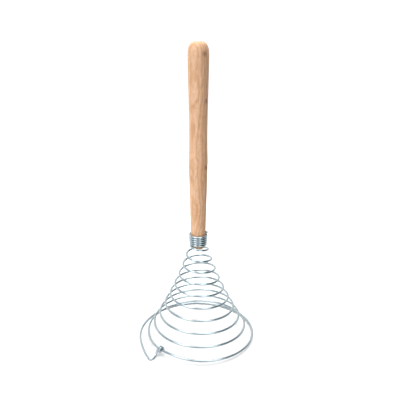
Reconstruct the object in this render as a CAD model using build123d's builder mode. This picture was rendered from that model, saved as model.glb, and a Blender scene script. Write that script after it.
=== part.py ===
from build123d import *
from math import cos, pi, sin
import os

# Spring coil whisk: a turned beech handle and one length of spring wire.
# The wire grips the handle in close turns, opens into a cone of wide turns,
# stands on a flat ring, turns back and is tied off round the turn before it.
# The wire is cut into nodes where its job changes, because the cone gives way
# when the whisk is pressed down while the grip and the ring keep their shape.
#
# Millimetres. The origin is where the handle's axis meets the table, +Z is up.
# "turns" counts the wire's way round from the start of the cone, at the -X side:
# the grip coil has negative turns, the cone 0 to 9, the base ring 9 to 10.

os.makedirs("parts", exist_ok=True)

# --- Driving dimensions ---------------------------------------------------------

WIRE_D = 2.5
WIRE_R = WIRE_D / 2

HANDLE_END_Z = 114.0        # lower end of the wood, inside the cone
HANDLE_TOP_Z = 338.5        # flat of the butt
BUTT_FLAT_R = 5.4
PALM_R, PALM_Z = 11.0, 322.0
WAIST_R, WAIST_Z = 9.7, 238.0
SWELL_R, SWELL_Z = 10.25, 205.0
NECK_R, NECK_Z = 8.65, 140.0
END_CHAMFER = 0.6

GRIP_TURNS = 5.25           # close turns on the wood, without the lifted cut end
GRIP_Z = 117.0              # wire centre at the lower end of the grip
GRIP_PITCH = 2.57
GRIP_R = 8.75               # wire centre at the lower end of the grip
GRIP_TAPER = 0.17           # growth of that radius for each turn up
GRIP_GAP = 0.05             # wire to wood
CUT_END_TURNS = 0.24        # the cut end springs away from the wood
CUT_END_LIFT = 0.1
CUT_END_OUT = 1.3

CONE_TURNS = 9
CONE_Z = 117.8              # height = CONE_Z - CONE_PITCH * turns
CONE_PITCH = 12.15
CONE_R = 9.64               # radius = CONE_R + CONE_GROWTH * turns + CONE_FLARE * turns^2
CONE_GROWTH = 3.366
CONE_FLARE = 0.245
LEAD_IN = 0.25              # turns over which the wire bends off the wood

RING_R = 70.1               # wire centre where the base ring is complete
RING_GROWTH = -0.4          # growth there for each turn: it has just stopped opening
RING_Z = WIRE_R             # the ring lies on the table

KINK_AT = 9.175             # turns: the ring is bent up a little beside the tie
KINK_TURNS = 0.09           # reach of the kink to each side
KINK_LIFT = 1.3

TIE_AT = 9.13               # turns: where the end is tied to the ring
TIE_R = 2.62                # wire centre to wire centre
TIE_PITCH = 2.65
TIE_WRAPS = 1.6

SPANS = 12                  # spline spans for each turn of wire


# --- The wire's centre line -------------------------------------------------------

def ease(start, start_slope, end, end_slope, s):
    """Cubic from start to end, with both slopes given, for s from 0 to 1."""
    keep = start * (1 + 2 * s) * (1 - s) ** 2 + end * s * s * (3 - 2 * s)
    return keep + start_slope * s * (1 - s) ** 2 - end_slope * s * s * (1 - s)


def spring_up(turns):
    """How far the cut end has sprung away: 0 where the grip ends, 1 at its tip."""
    return (max(0, -turns - GRIP_TURNS) / CUT_END_TURNS) ** 2


def kink(turns):
    """How far the ring is bent up beside the tie."""
    reach = min(1, abs(turns - KINK_AT) / KINK_TURNS)
    return KINK_LIFT * cos(pi / 2 * reach) ** 2


def cone_r(turns):
    return CONE_R + CONE_GROWTH * turns + CONE_FLARE * turns**2


def cone_z(turns):
    return CONE_Z - CONE_PITCH * turns


def wire_r(turns):
    """Distance of the wire's centre from the handle's axis."""
    if turns < 0:
        return GRIP_R - GRIP_TAPER * turns + CUT_END_OUT * spring_up(turns)
    if turns < LEAD_IN:
        slope = (CONE_GROWTH + 2 * CONE_FLARE * LEAD_IN) * LEAD_IN
        return ease(GRIP_R, -GRIP_TAPER * LEAD_IN, cone_r(LEAD_IN), slope, turns / LEAD_IN)
    if turns < CONE_TURNS:
        return cone_r(turns)
    slope = CONE_GROWTH + 2 * CONE_FLARE * CONE_TURNS
    return ease(cone_r(CONE_TURNS), slope, RING_R, RING_GROWTH, turns - CONE_TURNS)


def wire_z(turns):
    """Height of the wire's centre above the table."""
    if turns < 0:
        return GRIP_Z - GRIP_PITCH * turns + CUT_END_LIFT * spring_up(turns)
    if turns < LEAD_IN:
        start_slope, end_slope = -GRIP_PITCH * LEAD_IN, -CONE_PITCH * LEAD_IN
        return ease(GRIP_Z, start_slope, cone_z(LEAD_IN), end_slope, turns / LEAD_IN)
    if turns < CONE_TURNS:
        return cone_z(turns)
    return ease(cone_z(CONE_TURNS), -CONE_PITCH, RING_Z, 0, turns - CONE_TURNS) + kink(turns)


def polar(radius, turns, height):
    """Point at a radius, an angle counted in turns from -X, and a height."""
    angle = pi + 2 * pi * turns
    return Vector(radius * cos(angle), radius * sin(angle), height)


def wire_at(turns):
    return polar(wire_r(turns), turns, wire_z(turns))


def heading(turns):
    """Direction of the wire as the turns go up."""
    step = 1e-4
    return (wire_at(turns + step) - wire_at(turns - step)).normalized()


def stretch(first, last):
    """Evenly spaced points of the wire from one count of turns to another."""
    spans = max(2, round((last - first) * SPANS))
    return [wire_at(first + (last - first) * i / spans) for i in range(spans + 1)]


def bend_wire(name, points, start_heading, end_heading):
    """A piece of round wire along the points, written as one node."""
    with BuildPart() as piece:
        with BuildLine():
            Spline(points, tangents=[start_heading, end_heading], tangent_scalars=[1, 1])
        with BuildSketch(Plane(origin=points[0], z_dir=start_heading)):
            Circle(WIRE_R)
        sweep()
    piece.part.label = name
    export_step(piece.part, f"parts/{name}.step")


# --- Handle -----------------------------------------------------------------------
# Turned in one piece: rounded butt, palm end, waist, finger swell, neck, and a
# tapered seat that the grip coil is wound on. Its end stands a little out of the coil.

grip_top_z = wire_z(-GRIP_TURNS) + WIRE_R
seat_bottom_r = wire_r(0) - WIRE_R - GRIP_GAP - GRIP_TAPER / GRIP_PITCH * (GRIP_Z - HANDLE_END_Z)
seat_top_r = wire_r(-GRIP_TURNS) - WIRE_R - GRIP_GAP

with BuildPart() as handle:
    with BuildSketch(Plane.XZ):
        with BuildLine():
            butt = Line((0, HANDLE_TOP_Z), (BUTT_FLAT_R, HANDLE_TOP_Z))
            palm = Spline(
                butt @ 1,
                (7.4, 337.3),
                (9.1, 335.2),
                (10.5, 331.4),
                (10.95, 327.5),
                (PALM_R, PALM_Z),
                (10.7, 300),
                (10.0, 270),
                (WAIST_R, WAIST_Z),
                (SWELL_R, SWELL_Z),
                (9.65, 181),
                (9.1, 160),
                (NECK_R, NECK_Z),
                (seat_top_r, grip_top_z),
            )
            seat = Line(palm @ 1, (seat_bottom_r, HANDLE_END_Z))
            end = Line(seat @ 1, (0, HANDLE_END_Z))
            Line(end @ 1, butt @ 0)
        make_face()
    revolve(axis=Axis.Z)
    chamfer(handle.edges().group_by(Axis.Z)[0], END_CHAMFER)

handle.part.label = "handle"
export_step(handle.part, "parts/handle.step")

# --- Grip coil ----------------------------------------------------------------------
# Close turns on the seat. The cut end stands up and out, clear of the wood.

cut_end = -GRIP_TURNS - CUT_END_TURNS
bend_wire("grip_coil", stretch(cut_end, 0), heading(cut_end + 0.001), heading(0))

# --- Cone ---------------------------------------------------------------------------
# Nine open turns, each its own node, meeting face to face.

for n in range(CONE_TURNS):
    bend_wire(f"cone_turn_{n + 1}", stretch(n, n + 1), heading(n), heading(n + 1))

# --- Base ring ----------------------------------------------------------------------
# The last full turn comes down to the table and stays on it.

ring_end = CONE_TURNS + 1
bend_wire("base_ring", stretch(CONE_TURNS, ring_end), heading(CONE_TURNS), heading(ring_end - 0.001))

# --- End tie ------------------------------------------------------------------------
# The wire's last bit, wrapped round the ring: it climbs the outside, goes over the
# top and comes back underneath, moving along the ring as it goes.

along = heading(TIE_AT)
outward = polar(1, TIE_AT, 0)
upward = outward.cross(along)


def tie_at(wraps):
    round_ring = outward * cos(2 * pi * wraps) + upward * sin(2 * pi * wraps)
    return wire_at(TIE_AT) + along * (TIE_PITCH * (wraps - 1)) + round_ring * TIE_R


def tie_heading(wraps):
    step = 1e-4
    return (tie_at(wraps + step) - tie_at(wraps - step)).normalized()


tie_spans = round(TIE_WRAPS * SPANS)
tie_points = [tie_at(TIE_WRAPS * i / tie_spans) for i in range(tie_spans + 1)]
bend_wire("end_tie", tie_points, tie_heading(0), tie_heading(TIE_WRAPS))

# --- End loop -----------------------------------------------------------------------
# From the end of the ring the wire swings out along the table, turns sharply back
# and climbs to the tie.

loop_points = [
    wire_at(ring_end),
    polar(70.1, 10.030, RING_Z),
    polar(70.6, 10.060, RING_Z),
    polar(72.7, 10.092, RING_Z),
    polar(75.0, 10.115, RING_Z),
    polar(75.8, 10.1235, RING_Z),
    polar(74.6, 10.1275, RING_Z + 0.05),
    polar(71.4, 10.1278, RING_Z + 0.3),
    polar(67.6, 10.1250, RING_Z + 1.2),
    polar(64.9, 10.1232, RING_Z + 3.3),
    tie_at(0),
]
bend_wire("end_loop", loop_points, heading(ring_end - 0.001), tie_heading(0))
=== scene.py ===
import bpy
from itertools import accumulate, pairwise
from math import cos, pi, radians, sin
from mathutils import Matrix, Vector
from mathutils.geometry import interpolate_bezier
from mathutils.kdtree import KDTree
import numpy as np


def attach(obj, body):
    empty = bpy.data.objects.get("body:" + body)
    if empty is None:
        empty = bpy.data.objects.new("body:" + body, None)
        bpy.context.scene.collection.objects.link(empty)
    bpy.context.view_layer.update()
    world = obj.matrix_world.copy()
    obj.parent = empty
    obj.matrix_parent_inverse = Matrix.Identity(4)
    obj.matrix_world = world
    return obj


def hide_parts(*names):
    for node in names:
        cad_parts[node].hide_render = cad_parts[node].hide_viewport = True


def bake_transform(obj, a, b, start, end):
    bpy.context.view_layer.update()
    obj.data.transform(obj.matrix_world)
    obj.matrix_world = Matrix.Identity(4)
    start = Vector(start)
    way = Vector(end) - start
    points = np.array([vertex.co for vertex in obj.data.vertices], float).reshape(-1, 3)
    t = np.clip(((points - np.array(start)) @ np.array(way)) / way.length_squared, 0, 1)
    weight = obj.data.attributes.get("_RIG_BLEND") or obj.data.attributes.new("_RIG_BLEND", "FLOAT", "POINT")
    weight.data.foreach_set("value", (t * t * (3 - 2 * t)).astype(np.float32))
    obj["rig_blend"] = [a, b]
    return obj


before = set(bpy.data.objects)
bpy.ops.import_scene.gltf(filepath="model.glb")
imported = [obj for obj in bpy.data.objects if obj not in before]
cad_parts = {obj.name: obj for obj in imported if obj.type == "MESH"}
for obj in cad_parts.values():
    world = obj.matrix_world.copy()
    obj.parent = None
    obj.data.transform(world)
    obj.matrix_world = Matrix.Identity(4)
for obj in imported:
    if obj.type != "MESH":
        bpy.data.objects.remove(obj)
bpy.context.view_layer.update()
bpy.ops.object.select_all(action="DESELECT")

# --- Camera ---------------------------------------------------------------------------
# Half a metre off and a little above the whisk, looking down at it from the front.

TILT = radians(17.59)
ROLL = radians(0.15)
CAMERA_DISTANCE = 0.52405
LOOK_AT = Vector((0.002, 0, 0.17085))

away = Vector((0, -cos(TILT), sin(TILT)))
bpy.ops.object.camera_add(location=LOOK_AT + away * CAMERA_DISTANCE)
camera = bpy.context.object
camera.name = "camera"
camera.rotation_mode = "ZYX"
camera.rotation_euler = (pi / 2 - TILT, 0, ROLL)
camera.data.sensor_width = 36
camera.data.lens = 42.3
camera.data.clip_start = 0.01
bpy.context.scene.camera = camera
bpy.context.scene.view_settings.view_transform = "Standard"

# --- Floor and light ------------------------------------------------------------------
# A wide white table in a white room, with one large soft lamp at the front left and a
# larger one overhead. Cards stand round the table for the wood and the wire to pick up.

FLOOR_R = 0.9
CARD_HEIGHT = 0.7
CARD_LIFT = 0.0005          # clear of the table

bpy.ops.mesh.primitive_circle_add(vertices=128, radius=FLOOR_R, fill_type="NGON")
floor = bpy.context.object
floor.name = "floor"


def new_material(name):
    """An empty node material: its tree and its shader."""
    material = bpy.data.materials.new(name)
    material.use_nodes = True
    tree = material.node_tree
    return material, tree, tree.nodes["Principled BSDF"]


def add(tree, kind, **settings):
    """A node with its properties set, or with its inputs filled where the name is an input's."""
    made = tree.nodes.new(kind)
    for name, value in settings.items():
        socket = name.replace("_", " ")
        if socket in made.inputs:
            made.inputs[socket].default_value = value
        else:
            setattr(made, name, value)
    return made


def noise(tree, source, scale, shift=(0, 0, 0), **settings):
    """Soft noise over some coordinates, with a scale for each axis. Returns its outputs."""
    mapping = add(tree, "ShaderNodeMapping", Scale=scale, Location=shift)
    made = add(tree, "ShaderNodeTexNoise", Scale=1.0, **settings)
    tree.links.new(source, mapping.inputs["Vector"])
    tree.links.new(mapping.outputs["Vector"], made.inputs["Vector"])
    return made.outputs


def ramp(tree, source, *stops):
    """Colours picked by a value: (position, grey or colour), from low to high."""
    made = add(tree, "ShaderNodeValToRGB")
    stripes = made.color_ramp.elements
    while len(stripes) < len(stops):
        stripes.new(0.5)
    for stripe, (position, colour) in zip(stripes, stops):
        stripe.position = position
        stripe.color = (*colour, 1) if isinstance(colour, tuple) else (colour, colour, colour, 1)
    tree.links.new(source, made.inputs["Fac"])
    return made.outputs["Color"]


def mix(tree, kind, amount, under, over):
    """Two colours mixed. Each of the last three is a value or a socket."""
    made = add(tree, "ShaderNodeMix", data_type="RGBA", blend_type=kind)
    sockets = made.inputs[0], made.inputs[6], made.inputs[7]
    for socket, value in zip(sockets, (amount, under, over)):
        if isinstance(value, bpy.types.NodeSocket):
            tree.links.new(value, socket)
        else:
            socket.default_value = value
    return made.outputs[2]


paint, tree, shader = new_material("white table")
shader.inputs["Roughness"].default_value = 0.7
shader.inputs["Specular IOR Level"].default_value = 0.2
place = add(tree, "ShaderNodeTexCoord").outputs["Object"]
mottle = noise(tree, place, (6, 6, 6), Detail=3.0)["Fac"]
tone = ramp(tree, mottle, (0.0, 0.90), (1.0, 0.92))
tree.links.new(tone, shader.inputs["Base Color"])
floor.data.materials.append(paint)


def soft_lamp(name, place, size, power):
    """A square lamp that faces the middle of the whisk."""
    bpy.ops.object.light_add(type="AREA", location=place)
    lamp = bpy.context.object
    lamp.name = name
    lamp.rotation_euler = (Vector(place) - LOOK_AT).to_track_quat("Z", "Y").to_euler()
    lamp.data.size = size
    lamp.data.energy = power


soft_lamp("key lamp", (-1.2, -1.3, 1.0), 1.5, 17.5)
soft_lamp("top lamp", (0.1, 0, 2.0), 2.2, 56)

world = bpy.data.worlds.new("white room")
world.use_nodes = True
room = world.node_tree.nodes["Background"]
room.inputs["Color"].default_value = (1, 1, 1, 1)
room.inputs["Strength"].default_value = 1.1
bpy.context.scene.world = world


def cards(name, radius, strength):
    """A ring of lit cards that the camera doesn't see: its place, its bearing and its glow."""
    bpy.ops.mesh.primitive_cylinder_add(
        vertices=96,
        radius=radius,
        depth=CARD_HEIGHT,
        location=(0, 0, CARD_LIFT + CARD_HEIGHT / 2),
        end_fill_type="NOTHING",
    )
    ring = bpy.context.object
    ring.name = name
    bpy.ops.object.transform_apply(location=True, rotation=True, scale=True)
    ring.visible_camera = False
    ring.visible_shadow = False
    card, tree, shader = new_material(name)
    tree.nodes.remove(shader)
    place = add(tree, "ShaderNodeTexCoord").outputs["Object"]
    bearing = add(tree, "ShaderNodeTexGradient", gradient_type="RADIAL")
    glow = add(tree, "ShaderNodeEmission", Strength=strength)
    tree.links.new(place, bearing.inputs["Vector"])
    tree.links.new(glow.outputs["Emission"], tree.nodes["Material Output"].inputs["Surface"])
    ring.data.materials.append(card)
    return ring, tree, place, bearing.outputs["Fac"], glow.inputs["Color"]


# Cards that only dull surfaces see, by bearing in turns from the left round by the front: pale
# at the left, the front and the back, and black at the right, to shade that side of the wood.
FLAGS = [(0.0, 0.75), (0.25, 0.60), (0.36, 0.03), (0.64, 0.03), (0.75, 0.60), (1.0, 0.75)]
flags, tree, place, bearing, glow = cards("flags", 0.36, 1.0)
flags.visible_glossy = False
tree.links.new(ramp(tree, bearing, *FLAGS), glow)

# Screens that only shiny surfaces see, by the same bearing: a lit one at the front left, a
# dark one in front, a lit gap, and a dark door at the right. The rest is pale, and so is the
# wall above the door's far half.
SCREENS = [
    (0.035, (0.20, 0.27, 0.31)),
    (0.086, (0.19, 0.26, 0.30)),
    (0.118, (0.95, 0.97, 1.00)),
    (0.182, (0.95, 0.97, 1.00)),
    (0.212, (0.14, 0.19, 0.22)),
    (0.280, (0.14, 0.19, 0.22)),
    (0.316, (0.80, 0.85, 0.88)),
    (0.356, (0.80, 0.85, 0.88)),
    (0.384, (0.10, 0.16, 0.19)),
    (0.430, (0.02, 0.05, 0.06)),
    (0.560, (0.01, 0.03, 0.04)),
    (0.660, (0.02, 0.04, 0.05)),
    (0.710, (0.10, 0.12, 0.13)),
    (0.760, (0.45, 0.47, 0.48)),
    (0.880, (0.58, 0.60, 0.60)),
    (0.985, (0.42, 0.46, 0.48)),
]
screens, tree, place, bearing, glow = cards("screens", 0.34, 2.9)
screens.visible_diffuse = False
height = add(tree, "ShaderNodeSeparateXYZ")
tree.links.new(place, height.inputs["Vector"])
above = ramp(tree, height.outputs["Z"], (0.06, 0.0), (0.14, 1.0))
far_half = ramp(tree, bearing, (0.55, 0.0), (0.60, 1.0), (0.72, 1.0), (0.77, 0.0))
wall = mix(tree, "MULTIPLY", 1.0, above, far_half)
tree.links.new(mix(tree, "MIX", wall, ramp(tree, bearing, *SCREENS), (0.52, 0.55, 0.56, 1)), glow)

# --- Handle ---------------------------------------------------------------------------
# One piece of beech, turned and sanded: rounded butt, palm end, waist, finger swell and
# neck, and a tapered seat that the wire is wound on. It is left unvarnished.

HANDLE_STEPS = 96
SMOOTH_BELOW = radians(40)  # edges sharper than this stay crisp
MERGE = 1e-6                # vertices closer than this are one
WANDER = 0.012              # how far the growth rings stray, side to side
BUTT = [(0, 0.3385), (0.0054, 0.3385)]
OUTLINE = [
    (0.0054, 0.3385),
    (0.0074, 0.3373),
    (0.0091, 0.3352),
    (0.0105, 0.3314),
    (0.01095, 0.3275),
    (0.011, 0.322),
    (0.0107, 0.300),
    (0.0100, 0.270),
    (0.0097, 0.238),
    (0.01025, 0.205),
    (0.00965, 0.181),
    (0.0091, 0.160),
    (0.00865, 0.140),
    (0.00834, 0.1317),
]
SEAT = [(0.00834, 0.1317), (0.00728, 0.1145), (0.00715, 0.1142), (0.00685, 0.114), (0, 0.114)]


def draw(points, handle_type):
    """A stretch of the outline, as a mesh line."""
    bpy.ops.curve.primitive_bezier_curve_add()
    line = bpy.context.object
    line.data.splines.clear()
    line.data.resolution_u = 6
    spline = line.data.splines.new("BEZIER")
    spline.bezier_points.add(len(points) - 1)
    for knot, (radius, height) in zip(spline.bezier_points, points):
        knot.co = (radius, 0, height)
        knot.handle_left_type = knot.handle_right_type = handle_type
    bpy.ops.object.convert(target="MESH")
    return line


lines = [draw(BUTT, "VECTOR"), draw(OUTLINE, "AUTO"), draw(SEAT, "VECTOR")]
for line in lines:
    line.select_set(True)
bpy.context.view_layer.objects.active = lines[0]
bpy.ops.object.join()
handle = bpy.context.object
handle.name = "beech_handle"
bpy.ops.object.transform_apply(location=True, rotation=True, scale=True)
bpy.ops.object.mode_set(mode="EDIT")
bpy.ops.mesh.select_all(action="SELECT")
bpy.ops.mesh.remove_doubles(threshold=MERGE)
bpy.ops.mesh.spin(steps=HANDLE_STEPS, angle=2 * pi, center=(0, 0, 0), axis=(0, 0, 1))
bpy.ops.mesh.select_all(action="SELECT")
bpy.ops.mesh.remove_doubles(threshold=MERGE)
bpy.ops.mesh.normals_make_consistent(inside=False)
bpy.ops.object.mode_set(mode="OBJECT")
bpy.ops.object.shade_smooth_by_angle(angle=SMOOTH_BELOW)


def bump(tree, height, strength, distance, under=None):
    """A fine relief, on top of another one if that is given."""
    made = add(tree, "ShaderNodeBump", Strength=strength, Distance=distance)
    tree.links.new(height, made.inputs["Height"])
    if under:
        tree.links.new(under, made.inputs["Normal"])
    return made.outputs["Normal"]


beech, tree, shader = new_material("beech")
shader.inputs["Specular IOR Level"].default_value = 0.35
place = add(tree, "ShaderNodeTexCoord").outputs["Object"]

# Growth rings three millimetres apart, round a pith some six centimetres off at the front
# left. They wander along the tree, so turning cuts them into long loops and pointed arches.
wander = noise(tree, place, (55, 55, 26), Detail=3.0, Roughness=0.55)["Color"]
pith = add(tree, "ShaderNodeMapping", Scale=(1, 1, 0), Location=(0.030, 0.050, 0))
shifted = add(tree, "ShaderNodeVectorMath", operation="MULTIPLY_ADD")
shifted.inputs[1].default_value = (WANDER, WANDER, 0)
rings = add(tree, "ShaderNodeTexWave", wave_type="RINGS", rings_direction="Z", Scale=105.0,
            Distortion=0.8, Detail=2.0)
tree.links.new(place, pith.inputs["Vector"])
tree.links.new(wander, shifted.inputs[0])
tree.links.new(pith.outputs["Vector"], shifted.inputs[2])
tree.links.new(shifted.outputs["Vector"], rings.inputs["Vector"])
wood = ramp(tree, rings.outputs["Fac"], (0.0, (0.665, 0.380, 0.208)),
            (0.45, (0.745, 0.448, 0.265)), (1.0, (0.785, 0.500, 0.320)))

# Broad drift in colour along the handle.
drift = noise(tree, place, (120, 120, 30), (3, 1, 0), Detail=2.0)["Fac"]
drift_tone = ramp(tree, drift, (0.35, (0.93, 0.90, 0.86)), (0.65, 1.0))
wood = mix(tree, "MULTIPLY", 1.0, wood, drift_tone)

# Fibres: fine streaks about a centimetre long.
fibres = noise(tree, place, (1500, 1500, 70), Detail=4.0, Roughness=0.65)["Fac"]
wood = mix(tree, "MULTIPLY", 0.7, wood, ramp(tree, fibres, (0.32, 0.80), (0.62, 1.0)))

# Figure: soft lighter and darker patches, a millimetre or two wide and five to ten long.
figure = noise(tree, place, (520, 520, 130), (1, 4, 2), Detail=3.0, Roughness=0.6,
               Distortion=0.6)["Fac"]
figure_tone = ramp(tree, figure, (0.34, (0.88, 0.85, 0.82)), (0.60, 1.0))
wood = mix(tree, "MULTIPLY", 0.9, wood, figure_tone)

# Flecks: the rays, short brown dashes two or three millimetres long.
flecks = noise(tree, place, (1150, 1150, 300), (7, 2, 5), Detail=2.0, Roughness=0.5)["Fac"]
fleck_mask = ramp(tree, flecks, (0.61, 0.0), (0.72, 0.8))
wood = mix(tree, "MIX", fleck_mask, wood, (0.42, 0.225, 0.12, 1))

# Three pin knots: dark dots a little over a millimetre across.
PIN_KNOTS = [(0.0090, -0.0060, 0.2800), (0.0087, -0.0055, 0.2090), (0.0062, -0.0090, 0.3265)]
for pin_knot in PIN_KNOTS:
    apart = add(tree, "ShaderNodeVectorMath", operation="DISTANCE")
    apart.inputs[1].default_value = pin_knot
    tree.links.new(place, apart.inputs[0])
    near = ramp(tree, apart.outputs["Value"], (0.0004, 0.7), (0.0010, 0.0))
    wood = mix(tree, "MIX", near, wood, (0.13, 0.06, 0.035, 1))

tree.links.new(wood, shader.inputs["Base Color"])
tree.links.new(ramp(tree, fibres, (0.3, 0.62), (0.7, 0.48)), shader.inputs["Roughness"])
grain = bump(tree, fibres, 0.25, 0.0001)
pores = ramp(tree, flecks, (0.61, 0.8), (0.72, 0.0))
tree.links.new(bump(tree, pores, 0.35, 0.00008, grain), shader.inputs["Normal"])
handle.data.materials.clear()
handle.data.materials.append(beech)

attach(handle, "handle")
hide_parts("handle")

# --- Grip coil ------------------------------------------------------------------------
# The start of the one length of plated spring wire, wound in close turns on the seat and
# held by its own spring. Its cut end has sprung up and away from the wood.

WIRE_R = 0.00125
WIRE_BEVEL = 10             # fineness of the wire's round
TURN_STEPS = 120            # mesh rings for each turn of wire
CUT_ROUNDING = 0.86         # size of the face of a cut end, against the wire
GRIP_TURNS = 5.25
GRIP_PITCH = 0.00257
GRIP_R = 0.00875
GRIP_TAPER = 0.00017
GRIP_Z = 0.117
CUT_END_TURNS = 0.24
CUT_END_LIFT = 0.0001
CUT_END_OUT = 0.0013
LEAD_IN = 0.25
CONE_TURNS = 9
CONE_Z = 0.1178
CONE_PITCH = 0.01215
CONE_R = 0.00964
CONE_GROWTH = 0.003366
CONE_FLARE = 0.000245
RING_R = 0.0701
RING_GROWTH = -0.0004
KINK_AT = 9.175
KINK_TURNS = 0.09
KINK_LIFT = 0.0013


def ease(start, start_slope, end, end_slope, s):
    """Cubic from start to end, with both slopes given, for s from 0 to 1."""
    keep = start * (1 + 2 * s) * (1 - s) ** 2 + end * s * s * (3 - 2 * s)
    return keep + start_slope * s * (1 - s) ** 2 - end_slope * s * s * (1 - s)


def spring_up(turns):
    """How far the cut end has sprung away: 0 where the grip ends, 1 at its tip."""
    return (max(0, -turns - GRIP_TURNS) / CUT_END_TURNS) ** 2


def kink(turns):
    """How far the ring is bent up beside the tie."""
    reach = min(1, abs(turns - KINK_AT) / KINK_TURNS)
    return KINK_LIFT * cos(pi / 2 * reach) ** 2


def cone_r(turns):
    return CONE_R + CONE_GROWTH * turns + CONE_FLARE * turns**2


def wire_r(turns):
    """Distance of the wire's centre from the handle's axis."""
    if turns < 0:
        return GRIP_R - GRIP_TAPER * turns + CUT_END_OUT * spring_up(turns)
    if turns < LEAD_IN:
        slope = (CONE_GROWTH + 2 * CONE_FLARE * LEAD_IN) * LEAD_IN
        return ease(GRIP_R, -GRIP_TAPER * LEAD_IN, cone_r(LEAD_IN), slope, turns / LEAD_IN)
    if turns < CONE_TURNS:
        return cone_r(turns)
    slope = CONE_GROWTH + 2 * CONE_FLARE * CONE_TURNS
    return ease(cone_r(CONE_TURNS), slope, RING_R, RING_GROWTH, turns - CONE_TURNS)


def wire_z(turns):
    """Height of the wire's centre above the table."""
    if turns < 0:
        return GRIP_Z - GRIP_PITCH * turns + CUT_END_LIFT * spring_up(turns)
    if turns < LEAD_IN:
        end = CONE_Z - CONE_PITCH * LEAD_IN
        return ease(GRIP_Z, -GRIP_PITCH * LEAD_IN, end, -CONE_PITCH * LEAD_IN, turns / LEAD_IN)
    if turns < CONE_TURNS:
        return CONE_Z - CONE_PITCH * turns
    level = ease(CONE_Z - CONE_PITCH * CONE_TURNS, -CONE_PITCH, WIRE_R, 0, turns - CONE_TURNS)
    return level + kink(turns)


def polar(radius, turns, height):
    """Point at a radius, an angle counted in turns from -X, and a height."""
    angle = pi + 2 * pi * turns
    return Vector((radius * cos(angle), radius * sin(angle), height))


def wire_at(turns):
    return polar(wire_r(turns), turns, wire_z(turns))


def stretch(first, last):
    """Points of the wire from one count of turns to another."""
    steps = round((last - first) * TURN_STEPS)
    return [wire_at(first + (last - first) * i / steps) for i in range(steps + 1)]


def own_points(wire, points):
    """For each vertex of a tube, the number of the centre-line point that it stands round."""
    finder = KDTree(len(points))
    for i, point in enumerate(points):
        finder.insert(point, i)
    finder.balance()
    return [finder.find(vertex.co)[1] for vertex in wire.data.vertices]


def bend_wire(name, points, cut_first=False, cut_last=False):
    """A tube of round wire along the points. A cut end is rounded over a little."""
    bpy.ops.curve.primitive_nurbs_path_add()
    wire = bpy.context.object
    wire.name = name
    wire.data.splines.clear()
    line = wire.data.splines.new("POLY")
    line.points.add(len(points) - 1)
    for knot, point in zip(line.points, points):
        knot.co = (*point, 1)
    if cut_first:
        line.points[0].radius = CUT_ROUNDING
    if cut_last:
        line.points[-1].radius = CUT_ROUNDING
    wire.data.bevel_depth = WIRE_R
    wire.data.bevel_resolution = WIRE_BEVEL
    wire.data.use_fill_caps = True
    bpy.ops.object.convert(target="MESH")
    bpy.ops.object.transform_apply(location=True, rotation=True, scale=True)
    bpy.ops.object.mode_set(mode="EDIT")
    bpy.ops.mesh.select_all(action="SELECT")
    bpy.ops.mesh.remove_doubles(threshold=MERGE)
    bpy.ops.object.mode_set(mode="OBJECT")
    wire.data.materials.append(zinc)
    wire.data.materials.append(bare_steel)
    # The tube's sides have four corners. Only the faces that close its two ends have more.
    for face in wire.data.polygons:
        if len(face.vertices) > 4:
            face.material_index = 1
    bpy.ops.object.shade_smooth_by_angle(angle=SMOOTH_BELOW)
    # Each vertex keeps its way along the wire and its place on the wire's round, so that the
    # drawn lines follow every bend.
    ways = [0, *accumulate((after - before).length for before, after in pairwise(points))]
    drawn = wire.data.attributes.new("drawn", "FLOAT_VECTOR", "POINT")
    for spot, vertex, i in zip(drawn.data, wire.data.vertices, own_points(wire, points)):
        outer = vertex.co.xy.length - points[i].xy.length
        spot.vector = (ways[i], outer, vertex.co.z - points[i].z)
    return wire


# Bright zinc on drawn steel: lines along the wire, cloudy patches, small dull specks.
zinc, tree, shader = new_material("bright wire")
shader.inputs["Metallic"].default_value = 1.0
place = add(tree, "ShaderNodeTexCoord").outputs["Object"]
drawn = add(tree, "ShaderNodeAttribute", attribute_name="drawn").outputs["Vector"]
clouds = noise(tree, place, (260, 260, 260), Detail=4.0)["Fac"]
lines = noise(tree, drawn, (110, 2600, 2600), Detail=3.0, Roughness=0.6)["Fac"]
specks = noise(tree, drawn, (900, 1300, 1300), (3, 0, 0), Detail=2.0)["Fac"]
speck_mask = ramp(tree, specks, (0.67, 0.0), (0.74, 0.6))
plating = ramp(tree, clouds, (0.3, (0.32, 0.364, 0.384)), (0.5, (0.35, 0.396, 0.416)),
               (0.7, (0.385, 0.430, 0.450)))
plating = mix(tree, "MULTIPLY", 1.0, plating, ramp(tree, lines, (0.3, 0.90), (0.6, 1.0)))
plating = mix(tree, "MIX", speck_mask, plating, (0.24, 0.25, 0.255, 1))
shine = ramp(tree, clouds, (0.35, 0.13), (0.65, 0.06))
shine = mix(tree, "MIX", speck_mask, shine, (0.42, 0.42, 0.42, 1))
tree.links.new(plating, shader.inputs["Base Color"])
tree.links.new(shine, shader.inputs["Roughness"])
tree.links.new(bump(tree, lines, 0.12, 0.00001), shader.inputs["Normal"])

# Bare steel where the cutter went through: grey, dull, torn across.
bare_steel, tree, shader = new_material("cut steel")
shader.inputs["Metallic"].default_value = 1.0
shader.inputs["Roughness"].default_value = 0.5
place = add(tree, "ShaderNodeTexCoord").outputs["Object"]
torn = noise(tree, place, (1200, 1200, 4000), Detail=3.0)["Fac"]
steel = ramp(tree, torn, (0.3, (0.20, 0.19, 0.18)), (0.7, (0.42, 0.41, 0.40)))
tree.links.new(steel, shader.inputs["Base Color"])
tree.links.new(bump(tree, torn, 0.5, 0.0001), shader.inputs["Normal"])

grip = bend_wire("grip_wire", stretch(-GRIP_TURNS - CUT_END_TURNS, 0), cut_first=True)
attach(grip, "handle")
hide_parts("grip_coil")

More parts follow.
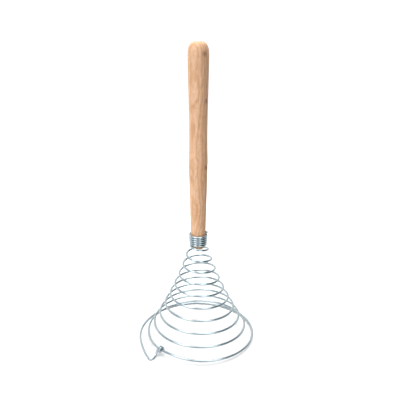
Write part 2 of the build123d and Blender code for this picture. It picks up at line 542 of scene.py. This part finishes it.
# --- Cone -----------------------------------------------------------------------------
# The same wire, opened into nine wide turns, each lower and wider than the one before. It is
# the spring that gives way when the handle is pushed down.

cone_points = stretch(0, CONE_TURNS)
cone = bend_wire("cone_wire", cone_points)
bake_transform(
    cone,
    "handle",
    "base_ring",
    start=(0, 0, GRIP_Z),
    end=(0, 0, CONE_Z - CONE_PITCH * CONE_TURNS),
)
# Each ring of the tube moves as one, so the wire stays round when the cone is squeezed.
for share, i in zip(cone.data.attributes["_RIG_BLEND"].data, own_points(cone, cone_points)):
    share.value = i / (len(cone_points) - 1)
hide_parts(*[f"cone_turn_{n + 1}" for n in range(CONE_TURNS)])

# --- Base ring, end loop and tie ------------------------------------------------------
# The wire's last full turn comes down and lies on the table. Past its end the wire swings
# out, turns sharply back and is wrapped round the ring, where its own stiffness holds it.

TIE_AT = 9.13
TIE_R = 0.00262
TIE_PITCH = 0.00265
TIE_WRAPS = 1.6
WRAP_STEPS = 36             # mesh rings for each wrap
LOOP_STEPS = 9              # mesh rings, with both ends, between two points of the loop

step = 1e-4
along = (wire_at(TIE_AT + step) - wire_at(TIE_AT - step)).normalized()
outward = polar(1, TIE_AT, 0)
upward = outward.cross(along)


def tie_at(wraps):
    """The wire's last bit: up the outside of the ring, over it and back underneath."""
    round_ring = outward * cos(2 * pi * wraps) + upward * sin(2 * pi * wraps)
    return wire_at(TIE_AT) + along * (TIE_PITCH * (wraps - 1)) + round_ring * TIE_R


def bend_through(points, start_heading, end_heading, steps):
    """Points of a smooth bend through the given ones."""
    ways = [(after - before).normalized() for before, after in zip(points, points[2:])]
    ways = [start_heading, *ways, end_heading]
    line = []
    for (a, b), (leave, arrive) in zip(pairwise(points), pairwise(ways)):
        reach = (b - a).length / 3
        line += interpolate_bezier(a, a + leave * reach, b - arrive * reach, b, steps)[:-1]
    return line + [points[-1]]


ring_end = CONE_TURNS + 1
loop = [
    wire_at(ring_end),
    polar(0.0701, 10.030, WIRE_R),
    polar(0.0706, 10.060, WIRE_R),
    polar(0.0727, 10.092, WIRE_R),
    polar(0.0750, 10.115, WIRE_R),
    polar(0.0758, 10.1235, WIRE_R),
    polar(0.0746, 10.1275, WIRE_R + 0.00005),
    polar(0.0714, 10.1278, WIRE_R + 0.0003),
    polar(0.0676, 10.1250, WIRE_R + 0.0012),
    polar(0.0649, 10.1232, WIRE_R + 0.0033),
    tie_at(0),
]
ring_heading = (wire_at(ring_end) - wire_at(ring_end - step)).normalized()
tie_heading = (tie_at(step) - tie_at(0)).normalized()
tie_steps = round(TIE_WRAPS * WRAP_STEPS)
ring_points = stretch(CONE_TURNS, ring_end)
ring_points += bend_through(loop, ring_heading, tie_heading, LOOP_STEPS)[1:]
ring_points += [tie_at(TIE_WRAPS * i / tie_steps) for i in range(1, tie_steps + 1)]
ring = bend_wire("ring_wire", ring_points, cut_last=True)
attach(ring, "base_ring")
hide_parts("base_ring", "end_loop", "end_tie")
